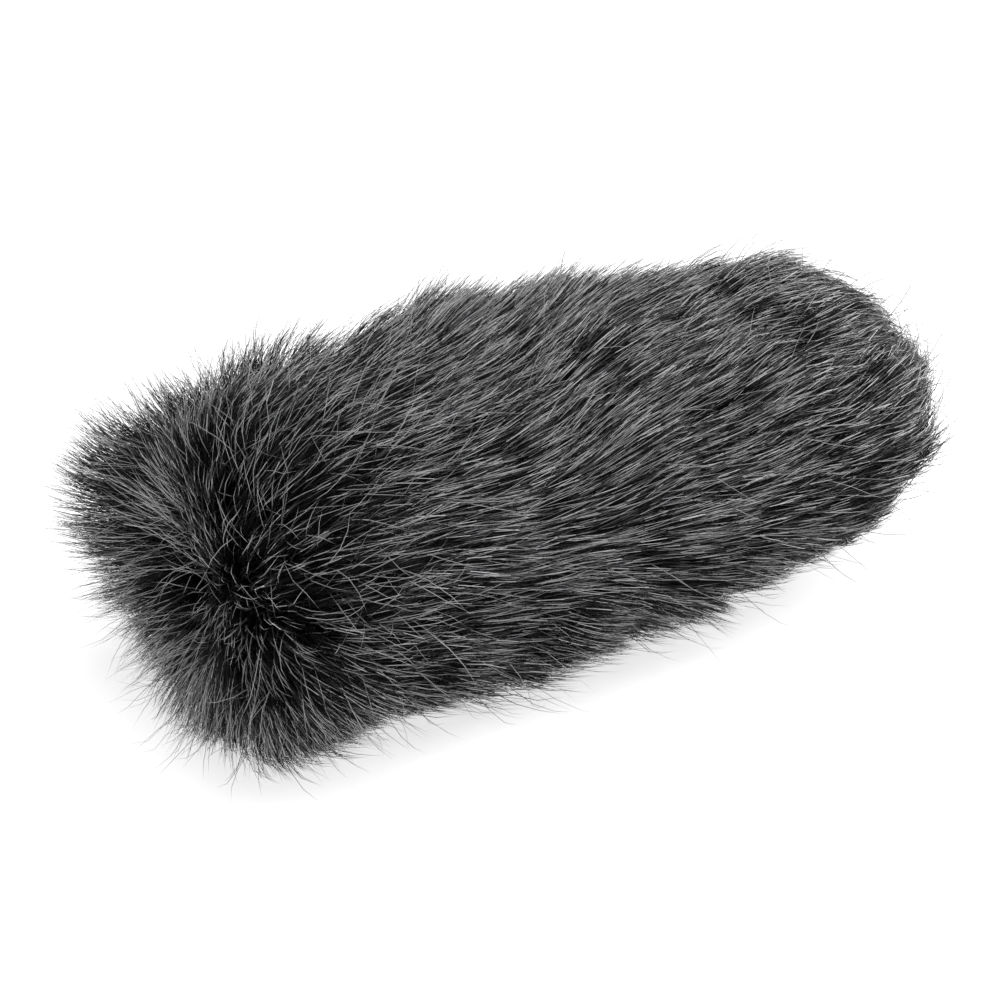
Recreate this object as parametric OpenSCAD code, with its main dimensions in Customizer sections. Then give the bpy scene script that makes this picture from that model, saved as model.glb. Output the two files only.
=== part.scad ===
// Furry windscreen for a shotgun microphone.
// A foam core with a rubber grip ring sits in a cover of long-pile fur fabric. The cover is two
// U-shaped panels joined along both sides and round the nose, closed by a cup-shaped mouth panel.
// The axis runs along X with the nose at +X. The part lies on z = 0, on fur pressed flat.

/* [Overall] */
// Length over the fur, from the mouth end to the nose
overall_len = 234; // [214:1:260]
// Diameter over the fur at the mouth end
fur_d = 110; // [106:1:120]
// Diameter over the fur at the nose, where the pile is combed flatter
nose_d = 100; // [98:1:104]
// Height of the axis above the surface that the fur is pressed against
axis_h = 47; // [44:0.5:50]

/* [Fur fabric] */
// Depth of the combed pile over its backing, at the mouth end
pile_depth = 17; // [14:0.5:17]
// Thickness of the knitted backing
backing_t = 1.2; // [0.8:0.1:1.4]
// Corner radius of the pile round the mouth end
mouth_pile_round = 24; // [20:1:28]
// Corner radius of the backing round the mouth end
mouth_back_round = 24; // [20:1:24]
// Distance of the mouth panel's seam from the backing's mouth end
mouth_panel_depth = 27; // [27:0.5:30]
// Radius of the mouth aperture
aperture_r = 12; // [11:0.5:12.5]
// Radius of the funnel in the pile at the aperture
funnel_r = 24; // [20:1:26]

/* [Seams and hem] */
// Width of the tape over each seam
tape_w = 9; // [7:0.5:9]
// Thickness of the seam tape
tape_t = 0.7; // [0.5:0.1:0.8]
// Thickness of the stitching thread
thread_d = 0.8; // [0.6:0.1:0.9]
// Width of the hem channel, from the aperture outwards
hem_w = 5.2; // [4.8:0.1:5.4]
// Length of the hem channel along the axis
hem_len = 5.1; // [4.6:0.1:5.5]
// Wall of the hem binding
hem_wall = 0.9; // [0.6:0.1:1]

/* [Grip ring] */
// Radius of the microphone bore
mic_r = 10; // [9.5:0.25:10.5]
// Thickness of the flange
flange_t = 3; // [2.5:0.5:3.5]
// Radius of the flange
flange_r = 25; // [20:1:26]
// Length of the barrel beyond the flange
barrel_len = 25; // [20:1:30]
// Wall of the barrel
barrel_wall = 3; // [2:0.5:3.5]
// Number of barbs round the barrel
barb_count = 3; // [2:1:4]
// Height of each barb
barb_h = 1.5; // [1:0.1:1.8]

/* [Foam core] */
// Gap between the foam and the fabric backing
cover_gap = 1.6; // [1.5:0.1:1.8]
// Thickness of the knitted lining in the bore
lining_t = 1; // [0.6:0.1:1.2]
// Length of the cylinder that the nose plug has behind its dome
plug_len = 20; // [16:1:30]

/* [Hidden] */
$fn = 96;

fur_r = fur_d / 2;
nose_r = nose_d / 2;
back_r = fur_r - pile_depth;
cavity_r = back_r - backing_t;
foam_r = cavity_r - cover_gap;
fit_gap = 0.2;
hem_gap = 0.5;

mouth_x = -overall_len / 2;
nose_x = overall_len / 2;
nose_c = nose_x - nose_r;
back_mouth_x = mouth_x + pile_depth;
cavity_mouth_x = back_mouth_x + backing_t;
seam_x = back_mouth_x + mouth_panel_depth;

hem_r = aperture_r + fit_gap;
hem_x = cavity_mouth_x + hem_gap;
flange_x = hem_x + hem_len + fit_gap;
foam_x = flange_x + flange_t;
barrel_x = foam_x + barrel_len;
barrel_r = mic_r + barrel_wall;
pocket_r = barrel_r + barb_h + fit_gap;
plug_x = nose_c - plug_len;
foam_end_x = cavity_mouth_x + cover_gap;
foam_round = mouth_back_round - backing_t - cover_gap;
lining_r = mic_r + lining_t;
tape_r = cavity_r - fit_gap - 0.2;

fur_dark = [0.10, 0.10, 0.11];
fur_grey = [0.20, 0.20, 0.21];
fur_mid = [0.15, 0.15, 0.16];
thread_black = [0.04, 0.04, 0.04];
tape_grey = [0.28, 0.28, 0.30];
foam_grey = [0.32, 0.32, 0.34];
foam_black = [0.08, 0.08, 0.09];

// Turns a solid revolved about Z so that its axis is the windscreen's axis.
module on_axis() {
    translate([0, 0, axis_h]) rotate([0, 90, 0]) children();
}

// Half section from the axis outwards: domed nose, side from one radius to the other, rounded mouth end.
module bullet_section(end_r, dome_r, end_x, round_r) {
    intersection() {
        union() {
            translate([0, nose_c]) circle(dome_r);
            polygon([[0, end_x], [end_r - round_r, end_x], [end_r - round_r, end_x + round_r],
                     [end_r, end_x + round_r], [dome_r, nose_c], [0, nose_c]]);
            translate([end_r - round_r, end_x + round_r]) circle(round_r);
        }
        translate([0, end_x]) square([end_r, overall_len]);
    }
}

// Ring of rectangular section about the axis.
module ring(r_in, r_out, x_from, x_to) {
    on_axis() rotate_extrude() translate([r_in, x_from]) square([r_out - r_in, x_to - x_from]);
}

// Outline of the two side seams and the nose seam between them, filled.
module seam_outline(r, x_from) {
    translate([x_from, -r]) square([nose_c - x_from, 2 * r]);
    translate([nose_c, 0]) circle(r);
}

// Band that follows both side seams and the nose seam.
module seam_band(r_in, r_out, height, x_from) {
    translate([0, 0, axis_h - height / 2]) linear_extrude(height) difference() {
        seam_outline(r_out, x_from);
        seam_outline(r_in, x_from - 1);
    }
}

// Fur fabric over the foam: backing and combed pile, with the slots that the seams close on.
module fur_cover() {
    difference() {
        on_axis() rotate_extrude() difference() {
            bullet_section(fur_r, nose_r, mouth_x, mouth_pile_round);
            bullet_section(cavity_r, cavity_r, cavity_mouth_x, mouth_back_round - backing_t);
            translate([0, mouth_x - 1]) square([aperture_r, overall_len / 2]);
            polygon([[0, mouth_x - 1], [funnel_r, mouth_x - 1], [funnel_r, mouth_x],
                     [aperture_r, back_mouth_x], [0, back_mouth_x]]);
        }
        seam_band(cavity_r - 1, back_r, thread_d + fit_gap, seam_x - 1);
        ring(cavity_r - 1, back_r, seam_x - thread_d / 2 - fit_gap / 2, seam_x + thread_d / 2 + fit_gap / 2);
    }
}

// Block that keeps the part of the cover between two places on the axis and two heights.
module keep(x_from, x_to, z_from, z_to) {
    translate([x_from, -fur_r - 1, z_from]) cube([x_to - x_from, fur_d + 2, z_to - z_from]);
}

module fur_upper_panel() {
    color(fur_grey) intersection() {
        fur_cover();
        keep(seam_x, nose_x + 1, axis_h, fur_d + 1);
    }
}

module fur_lower_panel() {
    color(fur_dark) intersection() {
        fur_cover();
        keep(seam_x, nose_x + 1, 0, axis_h);
    }
}

module fur_mouth_panel() {
    color(fur_mid) intersection() {
        fur_cover();
        keep(mouth_x - 1, seam_x, 0, fur_d + 1);
    }
}

// Lockstitch line along both sides and round the nose.
module side_seam_thread() {
    color(thread_black) seam_band(cavity_r, cavity_r + thread_d, thread_d, seam_x + 1);
}

// Tape over the side and nose seam allowances, inside the cover.
module side_seam_tape() {
    color(tape_grey) seam_band(tape_r - tape_t, tape_r, tape_w, seam_x + tape_w / 2 + fit_gap);
}

// Lockstitch line round the mouth panel.
module mouth_seam_thread() {
    color(thread_black) ring(cavity_r, cavity_r + thread_d, seam_x - thread_d / 2, seam_x + thread_d / 2);
}

// Tape over the mouth panel's seam allowance, inside the cover.
module mouth_seam_tape() {
    color(tape_grey) ring(tape_r - tape_t, tape_r, seam_x - tape_w / 2, seam_x + tape_w / 2);
}

// Folded tape that makes the channel for the elastic round the aperture.
module hem_binding() {
    color(tape_grey) on_axis() rotate_extrude() difference() {
        translate([hem_r, hem_x]) square([hem_w, hem_len]);
        translate([hem_r + hem_wall, hem_x + hem_wall]) square([hem_w - 2 * hem_wall, hem_len - 2 * hem_wall]);
    }
}

// Stitch line that holds the hem binding to the mouth panel.
module hem_thread() {
    color(thread_black) ring(hem_r + hem_w, hem_r + hem_w + thread_d, hem_x, hem_x + thread_d);
}

// Elastic in the hem channel.
module elastic_band() {
    color("dimgray") ring(hem_r + hem_wall + fit_gap, hem_r + hem_w - hem_wall - fit_gap,
        hem_x + hem_wall + fit_gap, hem_x + hem_len - hem_wall - fit_gap);
}

// Half section of the foam core between two places on the axis, outside a given radius.
module foam_section(r_in, x_from, x_to) {
    intersection() {
        bullet_section(foam_r, foam_r, foam_end_x, foam_round);
        translate([r_in, x_from]) square([foam_r - r_in, x_to - x_from]);
    }
}

// Open-cell foam tube with the lined bore, and a wider pocket for the grip ring's barrel.
module foam_sleeve() {
    color(foam_grey) on_axis() rotate_extrude() difference() {
        foam_section(lining_r, foam_x, plug_x);
        translate([0, foam_x - 1]) square([pocket_r, barrel_len + 1 + fit_gap]);
    }
}

// Domed foam plug bonded to the front of the sleeve, where the microphone's end stops.
module foam_nose_plug() {
    color(foam_grey) on_axis() rotate_extrude() foam_section(0, plug_x, nose_x);
}

// Foam washer behind the flange, rounded to the mouth panel.
module foam_end_ring() {
    inner_r = hem_r + hem_w + thread_d + fit_gap;
    color(foam_black) on_axis() rotate_extrude() foam_section(inner_r, foam_end_x, flange_x - fit_gap);
}

// Knitted lining of the bore.
module bore_lining() {
    color(tape_grey) ring(mic_r, lining_r, barrel_x + fit_gap, plug_x);
}

// Moulded rubber ring that grips the microphone: flange, barrel and barbs that hold the foam.
module grip_ring() {
    barb_pitch = barrel_len / (barb_count + 0.5);
    color(foam_black) on_axis() rotate_extrude() {
        translate([mic_r, flange_x]) square([flange_r - mic_r, flange_t]);
        translate([mic_r, foam_x]) square([barrel_wall, barrel_len]);
        for (i = [1 : barb_count])
            translate([barrel_r, foam_x + i * barb_pitch])
                polygon([[0, -barb_h], [barb_h, -barb_h], [barb_h, -barb_h / 2], [0, barb_h]]);
    }
}

fur_upper_panel();
fur_lower_panel();
fur_mouth_panel();
side_seam_thread();
side_seam_tape();
mouth_seam_thread();
mouth_seam_tape();
hem_binding();
hem_thread();
elastic_band();
foam_sleeve();
foam_nose_plug();
foam_end_ring();
bore_lining();
grip_ring();
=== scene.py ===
"""Furry windscreen for a shotgun microphone: the looks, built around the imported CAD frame.

Units are metres. The axis runs along X at the height axis_z, the mouth faces -X and the nose is at +X.
Every visible hair is a closed, tapered strand rooted in the knitted backing of its fur panel.
"""

import math

import bmesh
import bpy
import numpy as np
from mathutils import Matrix, Vector, kdtree


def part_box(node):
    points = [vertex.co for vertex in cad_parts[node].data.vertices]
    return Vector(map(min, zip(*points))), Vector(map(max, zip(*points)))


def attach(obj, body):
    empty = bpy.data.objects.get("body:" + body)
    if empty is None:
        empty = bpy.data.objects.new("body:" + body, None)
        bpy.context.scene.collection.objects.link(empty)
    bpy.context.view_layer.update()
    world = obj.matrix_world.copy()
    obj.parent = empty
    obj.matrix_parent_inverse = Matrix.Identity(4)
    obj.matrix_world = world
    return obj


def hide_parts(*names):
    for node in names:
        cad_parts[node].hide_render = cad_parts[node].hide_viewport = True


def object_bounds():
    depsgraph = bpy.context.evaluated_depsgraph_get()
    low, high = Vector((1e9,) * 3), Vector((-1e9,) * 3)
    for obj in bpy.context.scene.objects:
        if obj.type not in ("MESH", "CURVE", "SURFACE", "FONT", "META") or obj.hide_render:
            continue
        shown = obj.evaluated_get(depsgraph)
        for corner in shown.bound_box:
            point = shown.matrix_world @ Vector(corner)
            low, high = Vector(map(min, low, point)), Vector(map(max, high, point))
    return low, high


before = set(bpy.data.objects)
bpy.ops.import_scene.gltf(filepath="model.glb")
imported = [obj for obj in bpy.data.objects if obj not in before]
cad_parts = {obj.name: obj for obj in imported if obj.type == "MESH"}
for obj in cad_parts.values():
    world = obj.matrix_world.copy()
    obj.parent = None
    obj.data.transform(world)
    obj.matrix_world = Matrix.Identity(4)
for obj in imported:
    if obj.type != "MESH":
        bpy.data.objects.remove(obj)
cad_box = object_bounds()

# ---------------------------------------------------------------- sizes taken from the frame
MM = 0.001
mouth_seam_low, mouth_seam_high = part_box("mouth_seam_thread")
side_seam_low, side_seam_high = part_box("side_seam_thread")
side_tape_low, side_tape_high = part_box("side_seam_tape")
mouth_tape_low, mouth_tape_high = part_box("mouth_seam_tape")
hem_low, hem_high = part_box("hem_binding")
hem_thread_low, hem_thread_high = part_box("hem_thread")
elastic_low, elastic_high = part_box("elastic_band")
sleeve_low, sleeve_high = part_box("foam_sleeve")
plug_low, plug_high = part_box("foam_nose_plug")
end_ring_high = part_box("foam_end_ring")[1]
lining_low, lining_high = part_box("bore_lining")
grip_low, grip_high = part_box("grip_ring")

axis_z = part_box("fur_upper_panel")[0].z
seam_x = (mouth_seam_low.x + mouth_seam_high.x) / 2
cavity_r = side_seam_high.y - (side_seam_high.z - side_seam_low.z)
backing_t = 1.2 * MM
back_r = cavity_r + backing_t
dome_x = plug_high.x - plug_high.y
back_end_x = hem_low.x - 0.5 * MM - backing_t
# The corner between the mouth panel and the sides, in the frame and as the hair's backing is drawn.
mouth_round = 24 * MM
back_round = 16 * MM
aperture_r = 12 * MM
mic_r = 10 * MM
flange_t = 3 * MM
tape_t = 0.7 * MM
barrel_r = 13 * MM
grip_pocket_r = barrel_r + 1.7 * MM
FLOOR_GAP = 0.15 * MM
# How far the loose ends of the pile may stand proud of the combed envelope, along X, Y and Z.
PROUD = (16 * MM, 12.5 * MM, 12 * MM)

# ---------------------------------------------------------------- camera, floor and light
CAMERA_AZIMUTH = -30.0
CAMERA_ELEVATION = 31.0
CAMERA_DISTANCE = 0.702
CAMERA_LENS = 93.3
AIM_RIGHT = -15.6 * MM
AIM_UP = -6.3 * MM


def place_camera():
    """The camera looks at the middle of the windscreen from its near side, with the mouth end nearer."""
    az, el = math.radians(CAMERA_AZIMUTH), math.radians(CAMERA_ELEVATION)
    back = Vector((math.sin(az) * math.cos(el), -math.cos(az) * math.cos(el), math.sin(el)))
    right = Vector((math.cos(az), math.sin(az), 0))
    up = back.cross(right)
    aim = Vector((0, 0, axis_z)) + right * AIM_RIGHT + up * AIM_UP
    data = bpy.data.cameras.new("camera")
    data.lens = CAMERA_LENS
    data.sensor_width = 36
    data.clip_start = 0.01
    cam = bpy.data.objects.new("camera", data)
    cam.location = aim + back * CAMERA_DISTANCE
    cam.rotation_euler = Matrix((right, up, back)).transposed().to_euler()
    bpy.context.scene.collection.objects.link(cam)
    bpy.context.scene.camera = cam


WORLD_STRENGTH = 0.26
TOP_POWER = 9.3
RIGHT_POWER = 3.0
FLOOR_GLOW = 0.70


def area_light(name, size, power, place, aim):
    data = bpy.data.lights.new(name, "AREA")
    data.shape = "RECTANGLE"
    data.size, data.size_y = size
    data.energy = power
    light = bpy.data.objects.new(name, data)
    light.location = place
    light.rotation_euler = (Vector(place) - Vector(aim)).to_track_quat("Z", "Y").to_euler()
    bpy.context.scene.collection.objects.link(light)


def light_scene():
    """A surround that is white at the horizon, a large softbox overhead and a smaller one on the right."""
    world = bpy.data.worlds.new("studio")
    world.use_nodes = True
    nodes, links = world.node_tree.nodes, world.node_tree.links
    nodes["Background"].inputs["Color"].default_value = (1, 1, 1, 1)
    split = nodes.new("ShaderNodeSeparateXYZ")
    fade = nodes.new("ShaderNodeMapRange")
    fade.inputs["From Min"].default_value, fade.inputs["From Max"].default_value = 0.08, 0.25
    fade.inputs["To Min"].default_value, fade.inputs["To Max"].default_value = 1.0, WORLD_STRENGTH
    links.new(nodes.new("ShaderNodeTexCoord").outputs["Generated"], split.inputs[0])
    links.new(split.outputs["Z"], fade.inputs["Value"])
    links.new(fade.outputs["Result"], nodes["Background"].inputs["Strength"])
    bpy.context.scene.world = world
    area_light("softbox_top", (1.3, 1.1), TOP_POWER, (0.20, -0.08, 1.1), (0, 0, 0.03))
    area_light("softbox_right", (0.5, 0.4), RIGHT_POWER, (0.85, -0.25, 0.60), (0, 0, 0.05))
    bpy.context.scene.view_settings.view_transform = "Standard"
    bpy.context.scene.cycles.denoising_prefilter = "NONE"


def principled(name, color, roughness, specular):
    """A material with one Principled shader and values set on its own sockets."""
    mat = bpy.data.materials.new(name)
    mat.use_nodes = True
    shader = mat.node_tree.nodes["Principled BSDF"]
    shader.inputs["Base Color"].default_value = (*color, 1)
    shader.inputs["Roughness"].default_value = roughness
    shader.inputs["Specular IOR Level"].default_value = specular
    return mat


def make_floor():
    """A large pale plane, lit a little from below like a light table, that the windscreen lies on."""
    mesh = bpy.data.meshes.new("floor")
    half = 6.0
    corners = [(-half, -half, 0), (half, -half, 0), (half, half, 0), (-half, half, 0)]
    mesh.from_pydata(corners, [], [(0, 1, 2, 3)])
    floor = bpy.data.objects.new("floor", mesh)
    white = principled("floor_white", (0.9, 0.9, 0.9), 0.7, 0.0)
    shader = white.node_tree.nodes["Principled BSDF"]
    shader.inputs["Emission Color"].default_value = (1, 1, 1, 1)
    shader.inputs["Emission Strength"].default_value = FLOOR_GLOW
    floor.data.materials.append(white)
    bpy.context.scene.collection.objects.link(floor)


# ---------------------------------------------------------------- backing surface
# The meridian of the backing from the aperture to the nose tip, in four stretches:
# the flat of the mouth panel, its rounded corner, the straight side, and the dome.
flat_len = back_r - back_round - aperture_r
corner_len = back_round * math.pi / 2
side_len = dome_x - (back_end_x + back_round)
dome_len = back_r * math.pi / 2
meridian_len = flat_len + corner_len + side_len + dome_len


def meridian(u):
    """Radius, place along X and tangent angle of the backing at the distance u from the aperture's edge.
    The tangent angle is 0 where the tangent points to +X and 90 degrees where it points outwards."""
    u = np.asarray(u, float)
    r, x, angle = np.empty_like(u), np.empty_like(u), np.empty_like(u)
    v = u.copy()
    flat = v < flat_len
    r[flat], x[flat], angle[flat] = aperture_r + v[flat], back_end_x, math.pi / 2
    v = u - flat_len
    corner = (v >= 0) & (v < corner_len)
    turn = v[corner] / back_round
    r[corner] = back_r - back_round + back_round * np.sin(turn)
    x[corner] = back_end_x + back_round - back_round * np.cos(turn)
    angle[corner] = math.pi / 2 - turn
    v = v - corner_len
    side = (v >= 0) & (v < side_len)
    r[side], x[side], angle[side] = back_r, back_end_x + back_round + v[side], 0
    v = v - side_len
    dome = v >= 0
    turn = v[dome] / back_r
    r[dome] = np.maximum(back_r * np.cos(turn), 0)
    x[dome] = dome_x + back_r * np.sin(turn)
    angle[dome] = -turn
    return r, x, angle


def surface_point(u, phi):
    """Point, tangent towards the nose, outward normal and sideways vector on the backing.
    phi is the angle round the axis: 0 at +Y, 90 degrees on top, 180 degrees at -Y."""
    r, x, angle = meridian(u)
    radial = np.stack([np.zeros_like(phi), np.cos(phi), np.sin(phi)], -1)
    along = np.zeros_like(radial)
    along[..., 0] = 1
    cos_a, sin_a = np.cos(angle)[..., None], np.sin(angle)[..., None]
    tangent = cos_a * along + sin_a * radial
    normal = cos_a * radial - sin_a * along
    side = np.stack([np.zeros_like(phi), -np.sin(phi), np.cos(phi)], -1)
    point = radial * r[..., None]
    point[..., 0] += x
    point[..., 2] += axis_z
    return point, tangent, normal, side


def smooth(low, high, value):
    """0 below low, 1 above high, and a smooth step between them."""
    t = np.clip((value - low) / (high - low), 0, 1)
    return t * t * (3 - 2 * t)


# ---------------------------------------------------------------- hair
# Panels, as ranges of distance from the aperture and angle round the axis.
seam_u = flat_len + corner_len + seam_x - (back_end_x + back_round)
PANELS = {
    "mouth": ((0.3 * MM, seam_u - 0.4 * MM), (0, 2 * math.pi)),
    "upper": ((seam_u + 0.4 * MM, meridian_len), (0, math.pi)),
    "lower": ((seam_u + 0.4 * MM, meridian_len), (math.pi, 2 * math.pi)),
}


def scatter(rng, count, u_range, phi_range):
    """Roots spread evenly over the area of a panel."""
    grid = np.linspace(*u_range, 400)
    weight = meridian((grid[1:] + grid[:-1]) / 2)[0]
    total = np.concatenate([[0], np.cumsum(weight)])
    u = np.interp(rng.random(count) * total[-1], total, grid)
    phi = phi_range[0] + rng.random(count) * (phi_range[1] - phi_range[0])
    return u, phi


def panel_area(u_range, phi_range):
    grid = np.linspace(*u_range, 400)
    r = meridian((grid[1:] + grid[:-1]) / 2)[0]
    return float((r * np.diff(grid)).sum() * (phi_range[1] - phi_range[0]))


class Waves:
    """A smooth random field over space: a sum of a few waves of one rough wavelength."""

    def __init__(self, rng, wavelength, count=14):
        direction = rng.normal(size=(count, 3))
        direction /= np.linalg.norm(direction, axis=1)[:, None]
        self.k = direction * (2 * math.pi / wavelength) * rng.uniform(0.6, 1.6, count)[:, None]
        self.phase = rng.uniform(0, 2 * math.pi, count)
        self.scale = math.sqrt(2 / count)

    def __call__(self, points):
        return np.sin(points @ self.k.T + self.phase).sum(-1) * self.scale


# Stretches of the meridian where the lie of the pile changes, as shares of its length, with the
# angle between hair and backing at the root and at the tip.
LIE_PLACES = [0.0, 0.04, 0.09, 0.16, 0.30, 0.55, 0.68, 0.77, 0.88, 0.95, 1.0]
LIE_ROOT = [70, 66, 58, 54, 52, 45, 39, 34, 36, 46, 64]
LIE_TIP = [22, 16, 6, 6, 9, 3, -13, -27, -22, -4, 18]
# Places where a lock stands up or lies down: distance along X, angle round the axis, radius, extra angle.
TUFTS = [
    (0.000, 66, 0.012, 7),
    (0.014, 60, 0.014, -8),
    (-0.020, 64, 0.034, 11),
    (-0.088, 66, 0.026, -26),
    (-0.055, 240, 0.036, -11),
    (0.066, 84, 0.034, -6),
    (0.035, 232, 0.014, 5),
    (0.104, 198, 0.022, 16),
]
# Places where the pile is worn short or stands longer: X, angle, radius, extra share of its length.
LENGTHS = [
    (-0.104, 56, 0.020, -0.34),
    (-0.085, 34, 0.020, -0.57),
    (-0.060, 50, 0.024, 0.30),
    (-0.031, 59, 0.016, 0.08),
    (-0.093, 12, 0.015, 0.58),
    (-0.100, 248, 0.017, 0.36),
    (-0.087, 225, 0.019, -0.40),
    (-0.072, 236, 0.020, -0.20),
    (-0.099, 332, 0.015, -0.08),
    (-0.048, 225, 0.020, 0.28),
    (0.062, 215, 0.020, -0.09),
    (0.104, 198, 0.022, 0.30),
    (0.102, 185, 0.024, 0.16),
]
# Below 1 a hair bends over early in its length.
BEND_POWER = 0.75


# Round the mouth end, the share of the extra lift that brushes the hair out towards -X: most of it
# on the far flank, a little underneath, none on top and on the near side.
FAN_ANGLES = [0, 20, 36, 50, 62, 180, 215, 250, 285, 320, 345, 360]
FAN_SHARES = [1.05, 1.02, 0.7, 0.1, 0, 0, 0.12, 0.26, 0.42, 0.86, 1.08, 1.05]


# How much more slowly the lift fades along the lower far flank, so that it has no bare parting.
FADE_ANGLES = [0, 18, 240, 275, 340, 360]
FADE_EXTRA = [0.8, 0, 0, 1.1, 1.1, 0.8]


def fan_lift(u, phi):
    """Extra angle of the hair that is brushed out towards -X round the mouth end."""
    degrees = np.degrees(phi) % 360
    corner_end = flat_len + corner_len
    beyond = np.maximum(u - corner_end, 0)
    place = u - beyond + beyond / (1 + np.interp(degrees, FADE_ANGLES, FADE_EXTRA))
    places = [0, flat_len, corner_end, corner_end + 9 * MM, corner_end + 26 * MM]
    along = np.interp(place, places, np.radians([0, 18, 110, 98, 0]))
    return along * np.interp(degrees, FAN_ANGLES, FAN_SHARES)


def near_place(point, x, around, radius):
    """1 at a place on the backing, given by X and the angle round the axis, falling off over a radius."""
    a = math.radians(around)
    place = np.array([x, back_r * math.cos(a), axis_z + back_r * math.sin(a)])
    return np.exp(-((np.linalg.norm(point - place, axis=1) / radius) ** 2))


def length_share(u, phi):
    """The pile is shorter round the nose, most of all underneath, longest in the fan, and worn in places."""
    nose = smooth(0.50, 0.85, u / meridian_len)
    low = np.clip(-np.sin(phi), 0, 1)
    point = surface_point(u, phi)[0]
    change = sum(extra * near_place(point, x, around, radius) for x, around, radius, extra in LENGTHS)
    body = (1 - nose * (0.10 + 0.16 * low)) * (1 - 0.08 * low)
    return (body + 0.32 * fan_lift(u, phi)) * (1 + change)


def hair_paths(u, phi, length, turn, lift, steps, rng, waviness):
    """Centre lines of hairs rooted at (u, phi): they rise from the backing and bend over towards the nose.
    turn is the angle to the meridian and lift the extra angle to the backing, both in radians."""
    point, tangent, normal, side = surface_point(u, phi)
    share = u / meridian_len
    lift = lift + fan_lift(u, phi)
    root = np.radians(np.interp(share, LIE_PLACES, LIE_ROOT)) + lift
    tip = np.radians(np.interp(share, LIE_PLACES, LIE_TIP)) + lift
    for x, around, radius, extra in TUFTS:
        near = near_place(point, x, around, radius)
        root = root + near * math.radians(extra) * 0.5
        tip = tip + near * math.radians(extra)
    heading = np.cos(turn)[:, None] * tangent + np.sin(turn)[:, None] * side
    across = np.cos(turn)[:, None] * side - np.sin(turn)[:, None] * tangent
    stops = np.concatenate([[0], np.cumsum(np.linspace(0.8, 1.2, steps - 1))])
    stops /= stops[-1]
    path = np.empty((len(u), steps, 3))
    path[:, 0] = point - normal * (0.4 * MM)
    wobble_a = rng.uniform(0, 2 * math.pi, len(u))
    wobble_k = rng.uniform(3, 8, len(u))
    for j in range(1, steps):
        s = (stops[j] + stops[j - 1]) / 2
        angle = root + (tip - root) * s**BEND_POWER
        sway = waviness * np.sin(wobble_a + wobble_k * s)
        step = np.cos(angle)[:, None] * heading + np.sin(angle)[:, None] * normal + sway[:, None] * across
        step /= np.linalg.norm(step, axis=1)[:, None]
        path[:, j] = path[:, j - 1] + step * (length * (stops[j] - stops[j - 1]))[:, None]
    return path, stops


def trimmed(path):
    """Hair that would stand further out than the pile is cut to is shortened towards its root."""
    root = path[:, :1]
    keep = np.ones(len(path))
    for axis in range(3):
        for limit, sign in ((cad_box[0][axis], -1), (cad_box[1][axis], 1)):
            if axis == 2 and sign < 0:
                continue
            edge = sign * limit + PROUD[axis]
            reach = (sign * path[:, :, axis]).max(1)
            start = sign * root[:, 0, axis]
            share = (edge - start) / np.maximum(reach - start, 1e-6)
            keep = np.where(reach > edge, np.minimum(keep, share), keep)
    return root + (path - root) * keep[:, None, None]


def press_on_floor(path, rng):
    """Hair that would pass through the floor lies on it, in a layer a few millimetres deep."""
    soft = rng.uniform(1.0, 4.5, len(path))[:, None] * MM
    z = path[..., 2] - FLOOR_GAP
    path[..., 2] = FLOOR_GAP + np.where(z < soft, soft * np.exp(np.minimum(z - soft, 0) / soft), z)
    return path


def strand_mesh(name, paths, radii, bands, materials):
    """One mesh of closed tapered strands with three sides: a ring at each point but the last, the tip.
    bands holds each strand's material number at each of its stretches."""
    count, steps = paths.shape[:2]
    rings = steps - 1
    tangent = np.empty_like(paths[:, :rings])
    tangent[:, 0] = paths[:, 1] - paths[:, 0]
    tangent[:, 1:] = paths[:, 2:] - paths[:, :-2]
    tangent /= np.linalg.norm(tangent, axis=2)[..., None] + 1e-12
    guide = np.where(np.abs(tangent[:, :1, 2:3]) > 0.9, [[[1.0, 0, 0]]], [[[0, 0, 1.0]]])
    first = np.cross(tangent, np.broadcast_to(guide, tangent.shape))
    first /= np.linalg.norm(first, axis=2)[..., None] + 1e-12
    second = np.cross(tangent, first)
    per = rings * 3 + 1
    co = np.empty((count, per, 3), np.float32)
    for k in range(3):
        a = 2 * math.pi * k / 3
        out = math.cos(a) * first + math.sin(a) * second
        co[:, k : rings * 3 : 3] = paths[:, :rings] + radii[:, :, None] * out
    co[:, -1] = paths[:, -1]
    loops, starts, material_of = [], [], []
    for j in range(rings - 1):
        for k in range(3):
            a, b = j * 3 + k, j * 3 + (k + 1) % 3
            starts.append(sum(map(len, loops)))
            loops.append([a, b, b + 3, a + 3])
            material_of.append(j)
    top = (rings - 1) * 3
    for k in range(3):
        starts.append(sum(map(len, loops)))
        loops.append([top + k, top + (k + 1) % 3, rings * 3])
        material_of.append(rings - 1)
    starts.append(sum(map(len, loops)))
    loops.append([2, 1, 0])
    material_of.append(0)
    flat = np.concatenate([np.array(x) for x in loops])
    offset = np.arange(count)[:, None]
    mesh = bpy.data.meshes.new(name)
    mesh.vertices.add(count * per)
    mesh.vertices.foreach_set("co", co.ravel())
    mesh.loops.add(count * len(flat))
    mesh.loops.foreach_set("vertex_index", (flat + offset * per).ravel().astype(np.int32))
    mesh.polygons.add(count * len(starts))
    mesh.polygons.foreach_set("loop_start", (np.array(starts) + offset * len(flat)).ravel().astype(np.int32))
    mesh.polygons.foreach_set("material_index", bands[:, material_of].ravel().astype(np.int32))
    mesh.polygons.foreach_set("use_smooth", np.ones(count * len(starts), bool))
    for mat in materials:
        mesh.materials.append(mat)
    mesh.update(calc_edges=True)
    piece = bpy.data.objects.new(name, mesh)
    bpy.context.scene.collection.objects.link(piece)
    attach(piece, "root")
    return piece


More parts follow.
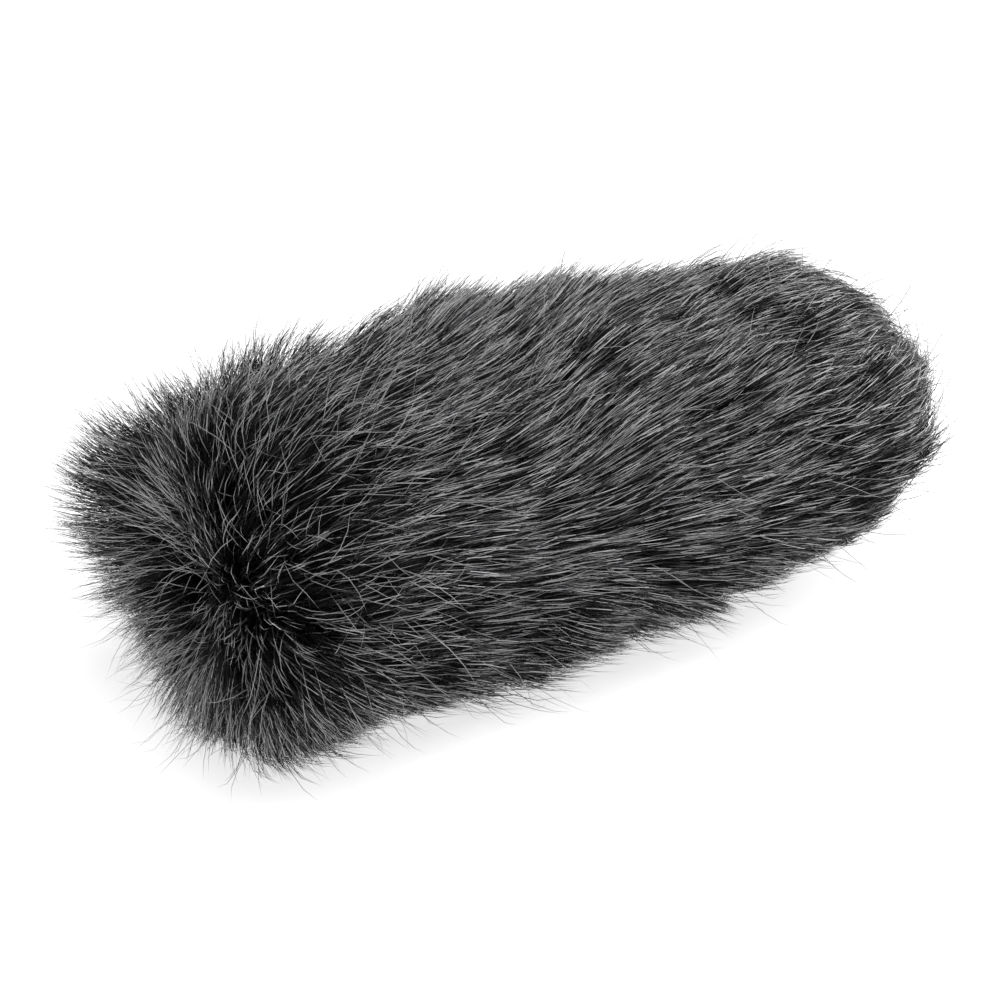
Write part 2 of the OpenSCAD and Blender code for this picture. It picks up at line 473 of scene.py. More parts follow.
TRIANGLES_MAX = 196000


def strand_pieces(name, paths, radii, bands, materials):
    """The strands as pieces that each stay under the triangle limit, cut along X."""
    triangles = 6 * (paths.shape[1] - 2) + 4
    pieces = math.ceil(len(paths) * triangles / TRIANGLES_MAX)
    order = np.argsort(paths[:, 0, 0], kind="stable")
    made = []
    for i, chunk in enumerate(np.array_split(order, pieces)):
        label = f"{name}_{i + 1:02d}"
        made.append(strand_mesh(label, paths[chunk], radii[chunk], bands[chunk], materials))
    return made


# Tones of the hair. hair_root_shaded, darker than the black, is on the root stretch of every strand: partly
# the fur's own dark base, partly painted shade deep in the pile.
HAIR_TONES = [
    ("hair_root_shaded", (0.003, 0.003, 0.0035), 0.60, 0.08),
    ("hair_black", (0.007, 0.007, 0.008), 0.50, 0.12),
    ("hair_charcoal", (0.013, 0.013, 0.0145), 0.46, 0.20),
    ("hair_grey", (0.028, 0.0285, 0.0305), 0.43, 0.25),
    ("hair_ash", (0.115, 0.115, 0.12), 0.40, 0.30),
    ("hair_pale", (0.47, 0.47, 0.475), 0.38, 0.30),
    ("hair_white", (0.76, 0.76, 0.765), 0.38, 0.30),
]
ROOT_SHADED, BLACK, CHARCOAL, GREY, ASH, PALE, WHITE = range(7)
hair_materials = [principled(*tone) for tone in HAIR_TONES]


def tones(rng, count, steps, kinds, shares):
    """Material numbers along each strand: each strand takes one of the kinds, by the shares."""
    kind = rng.choice(len(kinds), count, p=np.array(shares) / sum(shares))
    spans = np.linspace(0, 1, steps - 1)
    table = np.array([[k[min(int(s * len(k)), len(k) - 1)] for s in spans] for k in kinds])
    return table[kind]


def clumped(u, phi, rng, panel, size):
    """Numbers of the clump centres nearest to each root, and the centres' own roots."""
    count = max(8, int(panel_area(*panel) / size**2))
    cu, cphi = scatter(rng, count, *panel)
    centres = surface_point(cu, cphi)[0]
    tree = kdtree.KDTree(count)
    for i, p in enumerate(centres):
        tree.insert(p, i)
    tree.balance()
    nearest = np.array([tree.find(p)[1] for p in surface_point(u, phi)[0]])
    return nearest, cu, cphi


# The share of the hair that is grown.
DENSITY = 1.0
# The longest hairs are cut to a random length in this range, in mm.
LONGEST = (37, 46)
# Kinds of hair: roots per square millimetre, length in mm, radius in mm, points per hair, how far
# tips are drawn into their clump, waviness, spread of the direction in degrees, extra angle to the
# backing in degrees, share of the roots kept along the body, tones along the hair and their shares.
UNDERCOAT = dict(
    density=1.00, length=(12, 19), radius=0.095, steps=4, gather=0.30, waviness=0.25, spread=15,
    kinds=[(ROOT_SHADED, BLACK, BLACK), (ROOT_SHADED, BLACK, CHARCOAL)], shares=[8, 1],
)
PILE = dict(
    density=1.40, length=(21, 28), radius=0.105, steps=5, gather=0.50, waviness=0.07, spread=8,
    kinds=[
        (ROOT_SHADED, BLACK, BLACK, BLACK), (ROOT_SHADED, BLACK, CHARCOAL, GREY), (ROOT_SHADED, BLACK, GREY, ASH),
        (ROOT_SHADED, BLACK, CHARCOAL, CHARCOAL),
    ],
    shares=[14, 1.5, 1, 3.5],
)
GUARD = dict(
    density=0.58, length=(25, 32), radius=0.125, steps=6, gather=0.36, waviness=0.04, spread=11,
    kinds=[
        (ROOT_SHADED, BLACK, GREY, ASH, ASH), (ROOT_SHADED, CHARCOAL, ASH, PALE, PALE),
        (ROOT_SHADED, BLACK, CHARCOAL, ASH, PALE), (ROOT_SHADED, CHARCOAL, ASH, WHITE, ASH),
    ],
    shares=[2, 4, 3, 4],
)
STRAY = dict(
    density=0.26, length=(21, 36), radius=0.10, steps=7, gather=0.0, waviness=0.14, spread=26,
    rise=10, thin=0.10,
    kinds=[(ROOT_SHADED, CHARCOAL, ASH, PALE), (ROOT_SHADED, ASH, PALE, PALE)], shares=[1, 1],
)
CURLS = dict(
    density=0.45, length=(9, 20), radius=0.09, steps=9, gather=0.0, waviness=1.0, spread=50,
    rise=5, thin=0.0,
    kinds=[(ROOT_SHADED, BLACK, CHARCOAL, GREY), (ROOT_SHADED, CHARCOAL, GREY, ASH), (ROOT_SHADED, GREY, ASH, ASH)],
    shares=[2, 2, 1],
)


COATS = {"undercoat": UNDERCOAT, "pile": PILE, "guard": GUARD, "stray": STRAY, "curls": CURLS}


def thinned(u, rng, share_left):
    """Which roots stay: all round the mouth, about half at the nose, and a share along the body."""
    mouth_end = 1 - smooth(flat_len + 0.5 * corner_len, seam_u + 25 * MM, u)
    ends = mouth_end + 0.5 * smooth(0.84, 0.94, u / meridian_len)
    keep = share_left + (1 - share_left) * ends
    return rng.random(len(u)) < keep


def grow(panel_name, coat_name, coat, field, seed):
    """One coat of hair on one panel: each hair follows its own lie and is drawn towards its clump."""
    rng = np.random.default_rng(seed)
    panel = PANELS[panel_name]
    share = field["guard"] if coat_name == "guard" else 1.0
    count = int(panel_area(*panel) / MM**2 * coat["density"] * DENSITY * share)
    u, phi = scatter(rng, count, *panel)
    if "thin" in coat:
        stays = thinned(u, rng, coat["thin"])
        u, phi = u[stays], phi[stays]
        count = len(u)
    clump_rng = np.random.default_rng(field["clump_seed"])
    nearest, cu, cphi = clumped(u, phi, clump_rng, panel, field["clump_size"])
    clumps = len(cu)
    where = surface_point(cu, cphi)[0]
    clump_turn = field["turn"](where) * math.radians(6) + field["fine"](where) * math.radians(4)
    clump_turn = clump_turn + comb(cu, cphi)
    clump_lift = field["lift"](where) * math.radians(5) + clump_rng.normal(0, math.radians(3.5), clumps)
    clump_length = clump_rng.uniform(*field["clump_lengths"], clumps)
    middle = sum(coat["length"]) / 2 * MM
    steps = coat["steps"]
    centre_length = middle * clump_length * length_share(cu, cphi)
    waviness = coat["waviness"] * 0.6
    centre, stops = hair_paths(cu, cphi, centre_length, clump_turn, clump_lift, steps, clump_rng, waviness)
    fan = np.degrees(fan_lift(u, phi))
    parting = smooth(10, 50, fan) * (1 - smooth(75, 105, fan))
    mess = field["mess"] + 0.7 * smooth(0.74, 0.95, u / meridian_len) + 1.2 * parting
    spread = math.radians(coat["spread"]) * mess
    turn = clump_turn[nearest] + spread * rng.normal(size=count)
    lift = clump_lift[nearest] + math.radians(coat.get("rise", 0)) + spread * 0.6 * rng.normal(size=count)
    length = rng.uniform(*coat["length"], count) * MM * clump_length[nearest] * length_share(u, phi)
    length = np.minimum(length, rng.uniform(*LONGEST, count) * MM)
    waviness = coat["waviness"] * field["mess"]
    path, stops = hair_paths(u, phi, length, turn, lift, steps, rng, waviness)
    pull = coat["gather"] * rng.uniform(0.5, 1.15, count)
    weight = (stops**1.4)[None, :, None] * pull[:, None, None]
    path = path + (centre[nearest] - path) * weight
    path = press_on_floor(trimmed(path), rng)
    thick = coat["radius"] * MM * rng.uniform(0.8, 1.25, count)
    taper = np.interp(stops[:-1], [0, 0.25, 0.7, 1.0], [0.75, 1.0, 0.85, 0.3])
    radii = thick[:, None] * taper[None, :]
    bands = tones(rng, count, steps, coat["kinds"], coat["shares"])
    return strand_pieces(f"{panel_name}_{coat_name}", path, radii, bands, hair_materials)


COMB_ANGLES = [0, 60, 95, 120, 150, 175, 200, 240, 275, 360]
COMB_TURNS = [0, 1, -2, -7, -13, -6, 6, 14, 7, 0]


def comb(u, phi):
    """The lie of the pile off the meridian: upwards on the near flank, and downwards below it."""
    on_side = smooth(seam_u, seam_u + 30 * MM, u)
    return on_side * np.radians(np.interp(np.degrees(phi) % 360, COMB_ANGLES, COMB_TURNS))


# How each panel's pile is groomed: size of its clumps, range of their lengths, how unruly its hair
# is, and the share of the guard hairs that it has.
GROOMING = {
    "mouth": {"clump_size": 5.0 * MM, "clump_lengths": (0.78, 1.14), "mess": 1.6, "guard": 0.50},
    "upper": {"clump_size": 3.6 * MM, "clump_lengths": (0.86, 1.08), "mess": 1.0, "guard": 0.94},
    # The lower panel has fewer of the pale guard hairs than the upper, so the underside is darker: painted
    # shade.
    "lower": {"clump_size": 3.6 * MM, "clump_lengths": (0.86, 1.08), "mess": 1.0, "guard": 0.68},
}


def grow_fur():
    """Every coat on every panel, and the pieces made for each panel."""
    field_rng = np.random.default_rng(11)
    hair = {}
    for number, panel_name in enumerate(PANELS):
        field = {
            "turn": Waves(field_rng, 46 * MM),
            "fine": Waves(field_rng, 15 * MM),
            "lift": Waves(field_rng, 22 * MM),
            "clump_seed": 100 + number,
            **GROOMING[panel_name],
        }
        hair[panel_name] = []
        for seed, (coat_name, coat) in enumerate(COATS.items()):
            if coat_name != "curls" or panel_name == "mouth":
                hair[panel_name] += grow(panel_name, coat_name, coat, field, 1000 + 10 * number + seed)
    return hair


def grid_faces(rows, columns, first=0, closed=False):
    """Quads of a grid of vertices, and of its last column with its first where it is closed."""
    faces = []
    for i in range(rows - 1):
        for j in range(columns if closed else columns - 1):
            a, b = i * columns + j, i * columns + (j + 1) % columns
            faces.append((first + a, first + b, first + b + columns, first + a + columns))
    return faces


def add_piece(name, verts, faces, material):
    """A mesh piece with outward faces that rides on the body and takes its finish from a slot."""
    mesh = bpy.data.meshes.new(name)
    mesh.from_pydata([tuple(v) for v in verts], [], faces)
    work = bmesh.new()
    work.from_mesh(mesh)
    bmesh.ops.recalc_face_normals(work, faces=work.faces)
    work.to_mesh(mesh)
    work.free()
    mesh.materials.append(material)
    mesh.polygons.foreach_set("use_smooth", [True] * len(mesh.polygons))
    mesh.update()
    piece = bpy.data.objects.new(name, mesh)
    bpy.context.scene.collection.objects.link(piece)
    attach(piece, "root")
    return piece


# ---------------------------------------------------------------- procedural materials
def textured(name, dark, light, rough, pattern, scale, bump):
    """A material whose colour, roughness and relief come from one pattern in the object's own space.
    scale is the pattern's repeats per metre."""
    mat = principled(name, light, rough[1], 0.3)
    nodes, links = mat.node_tree.nodes, mat.node_tree.links
    shader = nodes["Principled BSDF"]
    place = nodes.new("ShaderNodeTexCoord").outputs["Object"]
    if pattern == "cells":
        relief = nodes.new("ShaderNodeTexVoronoi")
        relief.feature = "F1"
        out = relief.outputs["Distance"]
    elif pattern == "grain":
        relief = nodes.new("ShaderNodeTexNoise")
        relief.inputs["Detail"].default_value = 6
        out = relief.outputs["Fac"]
    else:
        relief = nodes.new("ShaderNodeTexWave")
        relief.wave_type = "BANDS"
        relief.bands_direction = pattern
        relief.inputs["Distortion"].default_value = 1.5
        relief.inputs["Detail"].default_value = 2
        relief.inputs["Detail Scale"].default_value = 2
        out = relief.outputs["Fac"]
    relief.inputs["Scale"].default_value = scale
    links.new(place, relief.inputs["Vector"])
    patches = nodes.new("ShaderNodeTexNoise")
    patches.inputs["Scale"].default_value = scale / 18
    patches.inputs["Detail"].default_value = 3
    links.new(place, patches.inputs["Vector"])
    blend = nodes.new("ShaderNodeMath")
    blend.operation = "MULTIPLY_ADD"
    blend.inputs[1].default_value = 0.7
    links.new(out, blend.inputs[0])
    wear = nodes.new("ShaderNodeMath")
    wear.operation = "MULTIPLY"
    wear.inputs[1].default_value = 0.3
    links.new(patches.outputs["Fac"], wear.inputs[0])
    links.new(wear.outputs[0], blend.inputs[2])
    ramp = nodes.new("ShaderNodeValToRGB")
    ramp.color_ramp.elements[0].position = 0.15
    ramp.color_ramp.elements[1].position = 0.85
    ramp.color_ramp.elements[0].color = (*dark, 1)
    ramp.color_ramp.elements[1].color = (*light, 1)
    links.new(blend.outputs[0], ramp.inputs["Fac"])
    links.new(ramp.outputs["Color"], shader.inputs["Base Color"])
    gloss = nodes.new("ShaderNodeMapRange")
    gloss.inputs["To Min"].default_value = rough[0]
    gloss.inputs["To Max"].default_value = rough[1]
    links.new(blend.outputs[0], gloss.inputs["Value"])
    links.new(gloss.outputs["Result"], shader.inputs["Roughness"])
    height = nodes.new("ShaderNodeBump")
    height.inputs["Strength"].default_value = 0.8
    height.inputs["Distance"].default_value = bump
    links.new(blend.outputs[0], height.inputs["Height"])
    links.new(height.outputs["Normal"], shader.inputs["Normal"])
    return mat


# Name, darker and lighter colour, range of roughness, pattern, its scale and the depth of its relief.
FINISHES = [
    ("backing_knit", (0.006, 0.006, 0.007), (0.022, 0.022, 0.024), (0.75, 0.95), "X", 420, 0.3 * MM),
    ("seam_tape_twill", (0.02, 0.02, 0.022), (0.07, 0.07, 0.074), (0.6, 0.8), "DIAGONAL", 520, 0.2 * MM),
    ("thread_twist", (0.012, 0.012, 0.013), (0.05, 0.05, 0.052), (0.4, 0.6), "DIAGONAL", 900, 0.08 * MM),
    ("elastic_braid", (0.015, 0.015, 0.016), (0.06, 0.06, 0.062), (0.5, 0.75), "Z", 600, 0.1 * MM),
    ("foam_cells", (0.012, 0.012, 0.013), (0.075, 0.075, 0.08), (0.8, 1.0), "cells", 900, 0.5 * MM),
    ("rubber_moulded", (0.012, 0.012, 0.013), (0.028, 0.028, 0.030), (0.45, 0.62), "grain", 500, 0.05 * MM),
    ("lining_knit", (0.02, 0.02, 0.021), (0.08, 0.08, 0.083), (0.65, 0.85), "X", 950, 0.2 * MM),
]
inner_materials = [textured(*row) for row in FINISHES]
knit_material, tape_material, thread_material, elastic_material = inner_materials[:4]
foam_material, rubber_material, lining_material = inner_materials[4:]


# ---------------------------------------------------------------- turned and swept pieces
def sweep(name, centre, across, normal, section, closed, material):
    """A closed section, as (across, normal) pairs, carried along a line of centres."""
    section = np.broadcast_to(section, (len(centre),) + np.shape(section)[-2:])
    verts = centre[:, None] + section[..., :1] * across[:, None] + section[..., 1:] * normal[:, None]
    rows, columns = verts.shape[:2]
    faces = grid_faces(rows, columns, 0, True)
    if closed:
        last = (rows - 1) * columns
        for j in range(columns):
            k = (j + 1) % columns
            faces.append((last + j, last + k, k, j))
    else:
        faces.append(tuple(range(columns)))
        faces.append(tuple(range((rows - 1) * columns, rows * columns)))
    return add_piece(name, verts.reshape(-1, 3), faces, material)


def lathe(name, outline, columns, material, shape=None):
    """A solid turned round the axis from its closed outline of (x, radius) points in metres."""
    phi = np.linspace(0, 2 * math.pi, columns, endpoint=False)
    centre = np.zeros((columns, 3))
    centre[:, 2] = axis_z
    across = np.zeros((columns, 3))
    across[:, 0] = 1
    normal = np.stack([np.zeros(columns), np.cos(phi), np.sin(phi)], -1)
    section = np.repeat(np.array(outline)[None], columns, 0)
    if shape:
        section = shape(section, phi)
    return sweep(name, centre, across, normal, section, True, material)


def rounded(points, radius, steps=4):
    """A closed outline with its corners rounded."""
    points = [np.array(p, float) for p in points]
    made = []
    for i, here in enumerate(points):
        before, after = points[i - 1], points[(i + 1) % len(points)]
        cut_a = min(radius, np.linalg.norm(before - here) * 0.45)
        cut_b = min(radius, np.linalg.norm(after - here) * 0.45)
        a = here + (before - here) / np.linalg.norm(before - here) * cut_a
        b = here + (after - here) / np.linalg.norm(after - here) * cut_b
        for t in np.linspace(0, 1, steps):
            made.append((1 - t) ** 2 * a + 2 * t * (1 - t) * here + t**2 * b)
    return np.array(made)


def spaced(points, step):
    """A closed outline with extra points, so that none are much further apart than step."""
    made = []
    for i, a in enumerate(points):
        b = points[(i + 1) % len(points)]
        parts = max(1, math.ceil(np.linalg.norm(b - a) / step))
        made += [a + (b - a) * k / parts for k in range(parts)]
    return np.array(made)


def arc(centre, radius, start, end, steps):
    """Points (x, radius) on an arc, its angles in degrees from the +X direction."""
    angles = np.radians(np.linspace(start, end, steps))
    return [(centre[0] + radius * math.cos(a), centre[1] + radius * math.sin(a)) for a in angles]


def thick_line(points, thickness):
    """The closed outline of an open line of (x, radius) points with that thickness."""
    points = np.array(points, float)
    along = np.gradient(points, axis=0)
    along /= np.linalg.norm(along, axis=1)[:, None]
    off = np.stack([-along[:, 1], along[:, 0]], -1) * thickness / 2
    return np.concatenate([points + off, (points - off)[::-1]])


def seam_line(radius, start_x, count):
    """Points and outward normals along one side seam, round the nose and back along the other side."""
    straight = dome_x - start_x
    s = np.linspace(0, 2 * straight + math.pi * radius, count)
    turn = np.clip((s - straight) / radius, 0, math.pi)
    normal = np.stack([np.sin(turn), np.cos(turn), np.zeros(count)], -1)
    run = np.minimum(s, straight) - np.maximum(s - straight - math.pi * radius, 0)
    point = normal * radius
    point[:, 0] += start_x + run
    point[:, 2] = axis_z
    return point, normal


def ring_line(radius, x, count):
    """Points and outward normals round the axis."""
    phi = np.linspace(0, 2 * math.pi, count, endpoint=False)
    normal = np.stack([np.zeros(count), np.cos(phi), np.sin(phi)], -1)
    point = normal * radius
    point[:, 0] = x
    point[:, 2] += axis_z
    return point, normal


def tape_section(width, thickness, points=10):
    """The section of a woven tape: flat, with its two edges rounded."""
    half = np.linspace(-1, 1, points)
    depth = thickness / 2 * (1 - half**8 * 0.7)
    top = np.stack([half * width / 2, depth], -1)
    return np.concatenate([top, top[::-1] * (1, -1)])


def make_tapes():
    """The tapes over the seam allowances: one round both sides and the nose, one round the mouth panel."""
    width = side_tape_high.z - side_tape_low.z
    radius = side_tape_high.y - tape_t / 2
    centre, normal = seam_line(radius, side_tape_low.x, 220)
    across = np.zeros_like(centre)
    across[:, 2] = 1
    section = tape_section(width, tape_t)
    section[:, 1] -= radius - np.sqrt(radius**2 - section[:, 0] ** 2)
    piece = sweep("side_tape", centre, across, normal, section, False, tape_material)
    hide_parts("side_seam_tape")
    centre, normal = ring_line(radius, (mouth_tape_low.x + mouth_tape_high.x) / 2, 120)
    across = np.zeros_like(centre)
    across[:, 0] = 1
    section = tape_section(mouth_tape_high.x - mouth_tape_low.x, tape_t)
    piece = sweep("mouth_tape", centre, across, normal, section, True, tape_material)
    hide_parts("mouth_seam_tape")


def tubes(paths, radii, sides):
    """Vertices and faces of closed round tubes, one along each path."""
    count, steps = paths.shape[:2]
    tangent = np.gradient(paths, axis=1)
    tangent /= np.linalg.norm(tangent, axis=2)[..., None]
    guide = np.where(np.abs(tangent[:, :1, 2:3]) > 0.8, [[[1.0, 0, 0]]], [[[0, 0, 1.0]]])
    first = np.cross(tangent, np.broadcast_to(guide, tangent.shape))
    first /= np.linalg.norm(first, axis=2)[..., None]
    second = np.cross(tangent, first)
    angle = np.linspace(0, 2 * math.pi, sides, endpoint=False)[:, None]
    ring = np.cos(angle) * first[:, :, None] + np.sin(angle) * second[:, :, None]
    verts = paths[:, :, None] + radii[:, :, None, None] * ring
    one = grid_faces(steps, sides, 0, True)
    one.append(tuple(range(sides)))
    one.append(tuple(range((steps - 1) * sides, steps * sides)))
    per = steps * sides
    faces = [tuple(v + i * per for v in face) for i in range(count) for face in one]
    return verts.reshape(-1, 3), faces


def make_stitches(name, node, line, normal, pitch, thread):
    """A row of lockstitches along a seam: short two-ply threads that dip into the cloth at their ends."""
    hops = np.linalg.norm(np.diff(line, axis=0), axis=1)
    run = np.concatenate([[0], np.cumsum(hops)])
    count = int(run[-1] / pitch)
    middles = (np.arange(count) + 0.5) * run[-1] / count
    steps = 9
    v = np.linspace(-1, 1, steps)
    s = middles[:, None] + v[None] * pitch * 0.44
    point = np.stack([np.interp(s, run, line[:, k]) for k in range(3)], -1)
    out = np.stack([np.interp(s, run, normal[:, k]) for k in range(3)], -1)
    out /= np.linalg.norm(out, axis=2)[..., None]
    along = np.gradient(point, axis=1)
    along /= np.linalg.norm(along, axis=2)[..., None]
    beside = np.cross(along, out)
    ply = thread / 4
    twist = v * math.pi * 1.4
    paths = []
    for phase in (0, math.pi):
        turn = (twist + phase)[None, :, None]
        offset = (np.cos(turn) * out + np.sin(turn) * beside) * ply * 0.9
        paths.append(point + offset - out * (np.abs(v) ** 5 * thread * 0.25)[None, :, None])
    paths = np.concatenate(paths)
    radii = np.broadcast_to(ply * (1 - 0.45 * np.abs(v) ** 6), paths.shape[:2])
    verts, faces = tubes(paths, radii, 6)
    piece = add_piece(name, verts, faces, thread_material)
    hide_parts(node)


def make_threads():
    """The three stitch lines: round the sides, round the mouth panel and round the hem."""
    thread = side_seam_high.z - side_seam_low.z
    line, normal = seam_line(side_seam_high.y - thread / 2, side_seam_low.x, 400)
    make_stitches("side_stitches", "side_seam_thread", line, normal, 3.0 * MM, thread)
    line, normal = ring_line(side_seam_high.y - thread / 2, seam_x, 240)
    line, normal = np.concatenate([line, line[:1]]), np.concatenate([normal, normal[:1]])
    make_stitches("mouth_stitches", "mouth_seam_thread", line, normal, 3.0 * MM, thread)
    line, normal = ring_line(hem_thread_high.y - thread / 2, (hem_thread_low.x + hem_thread_high.x) / 2, 160)
    line, normal = np.concatenate([line, line[:1]]), np.concatenate([normal, normal[:1]])
    make_stitches("hem_stitches", "hem_thread", line, normal, 2.4 * MM, thread)


def make_hem():
    """The folded binding round the aperture, gathered by the elastic that runs in its channel."""
    wall, width, bend = 0.9 * MM, 5.2 * MM, 1.1 * MM
    low_x, high_x = hem_low.x + wall / 2, hem_high.x - wall / 2
    low_r, high_r = hem_high.y - width + wall / 2, hem_high.y - wall / 2
    fold = [(low_x + bend, high_r), (high_x - bend, high_r)]
    fold += arc((high_x - bend, high_r - bend), bend, 90, 0, 5)[1:]
    fold += arc((high_x - bend, low_r + bend), bend, 0, -90, 5)
    fold += arc((low_x + bend, low_r + bend), bend, 270, 180, 5)
    fold += arc((low_x + bend, high_r - bend), bend, 180, 128, 4)
    outline = thick_line(fold, wall * 0.86)

    def puckers(section, phi):
        depth = 0.06 * MM * (np.cos(phi * 34) + 0.6 * np.cos(phi * 21 + 1.3))
        middle = np.array([(low_x + high_x) / 2, (low_r + high_r) / 2])
        away = section - middle
        size = np.linalg.norm(away, axis=2, keepdims=True)
        return section - away / size * (np.abs(depth)[:, None, None])

    piece = lathe("hem_fold", outline, 272, tape_material, puckers)
    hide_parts("hem_binding")

    inner = elastic_high.y - (elastic_high.x - elastic_low.x)
    core = (elastic_high.y + inner) / 2
    middle_x = (elastic_low.x + elastic_high.x) / 2
    radius = (elastic_high.x - elastic_low.x) / 2 - 0.16 * MM
    theta = np.linspace(0, 2 * math.pi, 20, endpoint=False)
    circle = np.stack([np.cos(theta), np.sin(theta)], -1)

    def braid(section, phi):
        one = np.cos(5 * theta[None] + 36 * phi[:, None])
        other = np.cos(5 * theta[None] - 36 * phi[:, None])
        size = radius + 0.14 * MM * np.maximum(one, other)
        return circle[None] * size[..., None] + np.array([middle_x, core])

    piece = lathe("elastic_cord", circle, 432, elastic_material, braid)
    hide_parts("elastic_band")


def make_foam():
    """The foam core: the tube with its stepped bore, the domed plug and the washer at the mouth."""
    foam_r = plug_high.z - axis_z
    end_x = back_end_x + backing_t + (cavity_r - foam_r)
    corner = mouth_round - backing_t - (cavity_r - foam_r)
    middle = (end_x + corner, foam_r - corner)
    pores = Waves(np.random.default_rng(5), 9 * MM)

    def cut_marks(section, phi):
        """Foam cut by a blade: the outside is a little uneven, always inwards."""
        place = np.zeros(section.shape[:2] + (3,))
        place[..., 0] = section[..., 0]
        place[..., 1] = section[..., 1] * np.cos(phi)[:, None]
        place[..., 2] = section[..., 1] * np.sin(phi)[:, None]
        depth = 0.12 * MM * (1.2 + pores(place)) * smooth(17 * MM, 24 * MM, section[..., 1])
        section = section.copy()
        section[..., 1] -= np.clip(depth, 0, 0.4 * MM)
        return section

    start = math.degrees(math.acos((sleeve_low.x - middle[0]) / corner))
    outline = [(sleeve_low.x, grip_pocket_r)]
    outline += arc(middle, corner, start, 90, 12)
    outline += [(sleeve_high.x, foam_r), (sleeve_high.x, lining_high.y), (lining_low.x, lining_high.y)]
    outline += [(lining_low.x, grip_pocket_r)]
    outline = spaced(rounded(outline, 0.5 * MM, 3), 2.2 * MM)
    piece = lathe("foam_tube", outline, 110, foam_material, cut_marks)
    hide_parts("foam_sleeve")

    outline = [(plug_low.x, 0.02 * MM), (plug_low.x, foam_r)]
    outline += arc((dome_x, 0), foam_r, 90, 0.2, 34)
    outline = spaced(np.array([np.array(p) for p in outline]), 2.2 * MM)
    outline[:, 1] = np.maximum(outline[:, 1], 0.02 * MM)
    piece = lathe("foam_dome", outline, 110, foam_material, cut_marks)
    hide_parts("foam_nose_plug")

    inner_r = hem_thread_high.y + 0.2 * MM
    start = 180 - math.degrees(math.asin((inner_r - middle[1]) / corner))
    end = math.degrees(math.acos((end_ring_high.x - middle[0]) / corner))
    outline = arc(middle, corner, start, end, 9) + [(end_ring_high.x, inner_r)]
    outline = spaced(rounded(outline, 0.3 * MM, 3), 1.2 * MM)
    piece = lathe("foam_washer", outline, 110, foam_material, cut_marks)
    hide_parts("foam_end_ring")


def make_lining():
    """The knitted lining of the bore, a thin tube with its wales standing as fine ribs."""
    outer, inner = lining_high.y - 0.05 * MM, mic_r + 0.1 * MM
    outline = [(lining_low.x + 0.1 * MM, inner), (lining_low.x + 0.1 * MM, outer)]
    outline += [(lining_high.x - 0.1 * MM, outer), (lining_high.x - 0.1 * MM, inner)]
    outline = spaced(rounded(outline, 0.2 * MM, 3), 3.0 * MM)

    def wales(section, phi):
        section = section.copy()
        low = section[..., 1] < (outer + inner) / 2
        rib = 0.3 * MM * np.abs(np.sin(phi * 24))[:, None]
        section[..., 1] += np.where(low, rib, 0)
        return section

    piece = lathe("bore_knit", outline, 192, lining_material, wales)
    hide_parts("bore_lining")


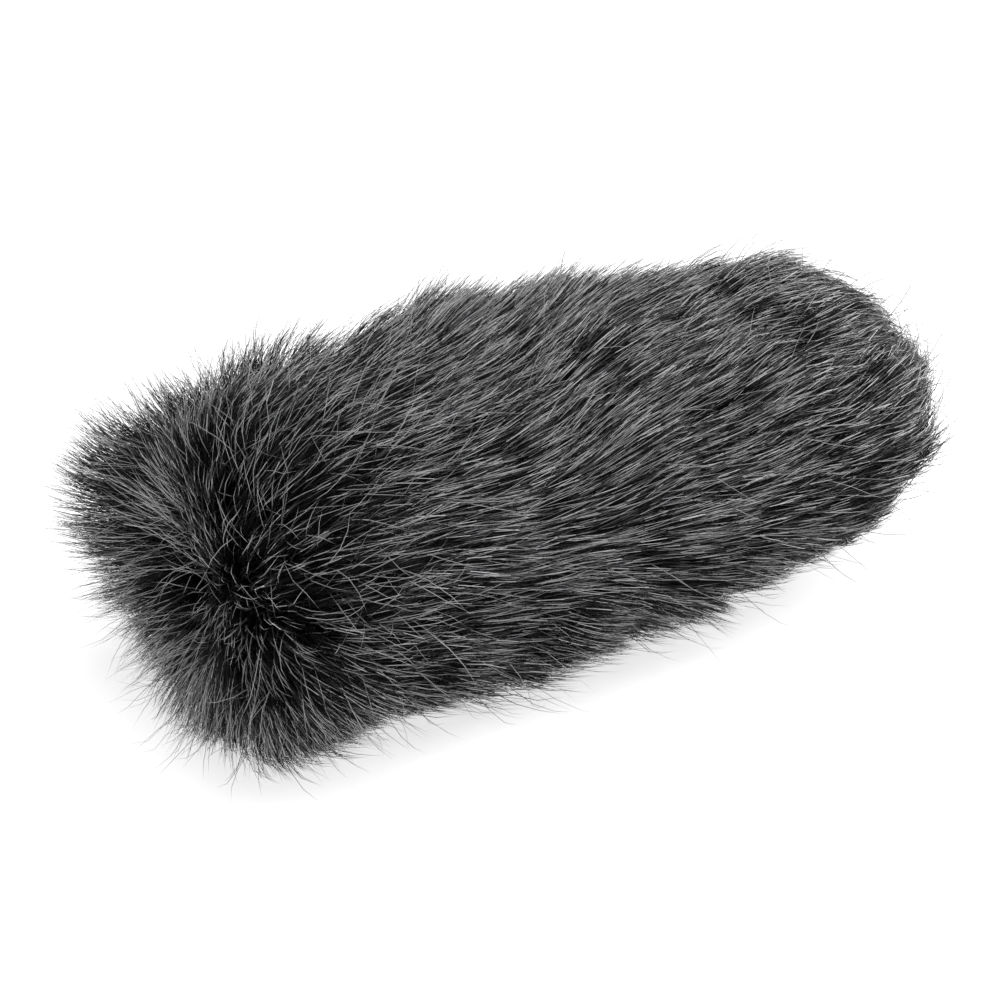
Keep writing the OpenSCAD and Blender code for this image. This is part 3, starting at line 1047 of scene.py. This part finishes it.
def make_grip():
    """The moulded rubber ring: grooved flange, barbed barrel, and shallow grooves in the bore."""
    face, back, end = grip_low.x, grip_low.x + flange_t, grip_high.x
    flange_r = grip_high.y
    outline = [(face, mic_r + 0.8 * MM)]
    for r in (13.5, 16.5, 19.5):
        outline += [(face, r * MM), (face + 0.35 * MM, (r + 0.3) * MM)]
        outline += [(face + 0.35 * MM, (r + 0.9) * MM), (face, (r + 1.2) * MM)]
    outline += [(face, flange_r - 0.9 * MM), (face + 0.9 * MM, flange_r)]
    outline += [(back - 0.9 * MM, flange_r), (back, flange_r - 0.9 * MM), (back, barrel_r + 0.5 * MM)]
    outline += [(back + 0.5 * MM, barrel_r)]
    pitch = (end - back) / 3.5
    for i in (1, 2, 3):
        x = back + i * pitch
        outline += [(x - 1.5 * MM, barrel_r), (x - 1.5 * MM, barrel_r + 1.35 * MM)]
        outline += [(x - 0.8 * MM, barrel_r + 1.4 * MM), (x + 1.5 * MM, barrel_r)]
    outline += [(end, barrel_r - 0.4 * MM), (end, mic_r + 0.6 * MM), (end - 0.6 * MM, mic_r)]
    x = end - 3 * MM
    while x > face + 5 * MM:
        outline += [(x, mic_r), (x - 0.5 * MM, mic_r + 0.45 * MM)]
        outline += [(x - 1.1 * MM, mic_r + 0.45 * MM), (x - 1.6 * MM, mic_r)]
        x -= 3.2 * MM
    outline += [(face + 0.8 * MM, mic_r)]
    outline = rounded(outline, 0.3 * MM, 3)
    piece = lathe("grip_moulding", outline, 128, rubber_material)
    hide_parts("grip_ring")


def make_backing(panel_name, node):
    """The knitted backing of one fur panel: a closed sheet of the fabric's thickness under the pile."""
    (u0, u1), (phi0, phi1) = PANELS[panel_name]
    closed = phi1 - phi0 > 6
    rows = 90 if panel_name != "mouth" else 40
    columns = 128 if closed else 65
    us = np.linspace(u0, min(u1, meridian_len - 0.2 * MM), rows)
    phis = np.linspace(phi0, phi1, columns, endpoint=not closed)
    uu, pp = np.meshgrid(us, phis, indexing="ij")
    point, _, normal, _ = surface_point(uu.ravel(), pp.ravel())
    verts = np.concatenate([point, point - normal * backing_t])
    shift = rows * columns
    faces = grid_faces(rows, columns, 0, closed)
    faces = [tuple(reversed(f)) for f in faces] + grid_faces(rows, columns, shift, closed)
    ring = range(columns if closed else columns - 1)
    for row, flip in ((0, False), (rows - 1, True)):
        for j in ring:
            a, b = row * columns + j, row * columns + (j + 1) % columns
            quad = (a, b, b + shift, a + shift)
            faces.append(tuple(reversed(quad)) if flip else quad)
    if not closed:
        for column, flip in ((0, True), (columns - 1, False)):
            for i in range(rows - 1):
                a, b = i * columns + column, (i + 1) * columns + column
                quad = (a, b, b + shift, a + shift)
                faces.append(tuple(reversed(quad)) if flip else quad)
    piece = add_piece(panel_name + "_backing", verts, faces, knit_material)
    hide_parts(node)


place_camera()
make_floor()
light_scene()
hair = grow_fur()
make_backing("upper", "fur_upper_panel")
make_backing("lower", "fur_lower_panel")
make_backing("mouth", "fur_mouth_panel")
make_tapes()
make_threads()
make_hem()
make_foam()
make_lining()
make_grip()
